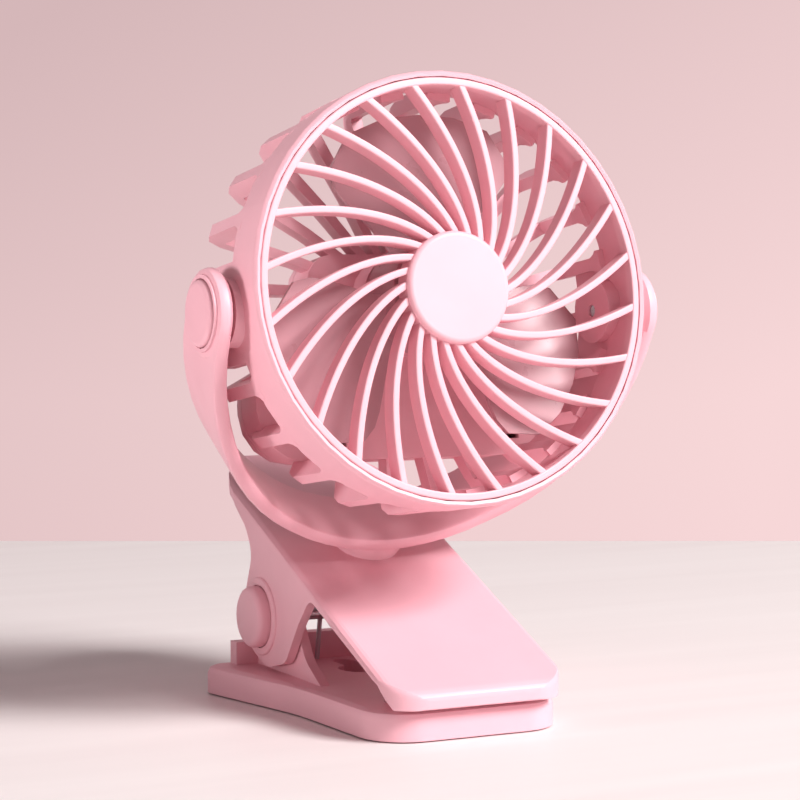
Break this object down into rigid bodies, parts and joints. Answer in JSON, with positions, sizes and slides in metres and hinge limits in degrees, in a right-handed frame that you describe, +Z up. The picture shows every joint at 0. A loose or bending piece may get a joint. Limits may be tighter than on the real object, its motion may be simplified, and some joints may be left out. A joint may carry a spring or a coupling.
{
  "type": "clip fan",
  "caption": "Small desk fan on a sprung clip: a drum head with a swirl grille tilts in a U-shaped yoke that swivels on the upper jaw.",
  "frame": {"origin": "centre of the clip base's footprint, on the table under the rubber foot pad", "axes": "+Z up, the fan looks toward -Y, the clip hinge and the tilt axis run along X"},
  "size_m": [0.134, 0.1244, 0.1734],
  "materials": {
    "pink_plastic": "satin moulded pink plastic",
    "pale_plastic": "satin pale pink plastic",
    "grip_rubber": "soft pink rubber",
    "steel": "plain steel",
    "spring_steel": "oiled spring wire",
    "white_nylon": "natural nylon",
    "dark_plastic": "matt black",
    "board": "green solder mask",
    "lens": "milky translucent",
    "cell_wrap": "laminated foil pouch",
    "tape": "foam tape",
    "red_wire": "silicone wire",
    "black_wire": "silicone wire"
  },
  "bodies": {
    "clip_base": {"base_plate": "pink_plastic", "base_pad": "grip_rubber", "foot_pad_1": "grip_rubber", "foot_pad_2": "grip_rubber", "clip_pin": "steel", "clip_spring": "spring_steel"},
    "clip_jaw": {"upper_jaw": "pink_plastic", "jaw_pad": "grip_rubber", "hinge_button_right": "pink_plastic", "hinge_button_left": "pink_plastic"},
    "fork": {"yoke": "pink_plastic", "swivel_screw": "steel", "swivel_washer": "steel", "tilt_cap_right": "pink_plastic", "tilt_cap_left": "pink_plastic"},
    "blades": {"fan_rotor": "pink_plastic", "motor_shaft": "steel"},
    "button": {"power_button": "pale_plastic"},
    "head": {"tilt_screw_right": "steel", "tilt_screw_left": "steel", "tilt_washer_right": "white_nylon", "tilt_washer_left": "white_nylon", "drum_housing": "pink_plastic", "front_grille": "pale_plastic", "motor_can": "steel", "motor_end": "dark_plastic", "rear_cover": "pink_plastic", "cover_screw_left": "steel", "cover_screw_right": "steel", "circuit_board": "board", "power_switch": "dark_plastic", "indicator_lens": "lens", "usb_socket": "steel", "battery_cell": "cell_wrap", "cell_tape": "tape", "cell_lead_red": "red_wire", "cell_lead_black": "black_wire", "motor_lead_red": "red_wire", "motor_lead_black": "black_wire"}
  },
  "joints": [
    {"name": "jaw", "type": "hinge", "parent": "clip_base", "child": "clip_jaw", "pos_m": [0, 0.03175, 0.023], "axis": [-1, 0, 0], "range_deg": [0, 28], "stiffness_Nm_per_rad": 1, "springref_deg": -45.84, "deforming": ["clip_spring"]},
    {"name": "swivel", "type": "hinge", "parent": "clip_jaw", "child": "fork", "pos_m": [0, 0.01863, 0.0435], "axis": [0, -0.5075, 0.8616], "continuous": true},
    {"name": "tilt", "type": "hinge", "parent": "fork", "child": "head", "pos_m": [0, -0.02047, 0.10987], "axis": [-1, 0, 0], "range_deg": [-98, 82]},
    {"name": "rotor_spin", "type": "hinge", "parent": "head", "child": "blades", "pos_m": [0, -0.03649, 0.11648], "axis": [0, -0.9898, 0.1426], "continuous": true},
    {"name": "power_press", "type": "slide", "parent": "head", "child": "button", "axis": [0, -0.9898, 0.1426], "range_m": [0, 0.0006], "stiffness_N_per_m": 400, "springref_m": -0.002}
  ]
}
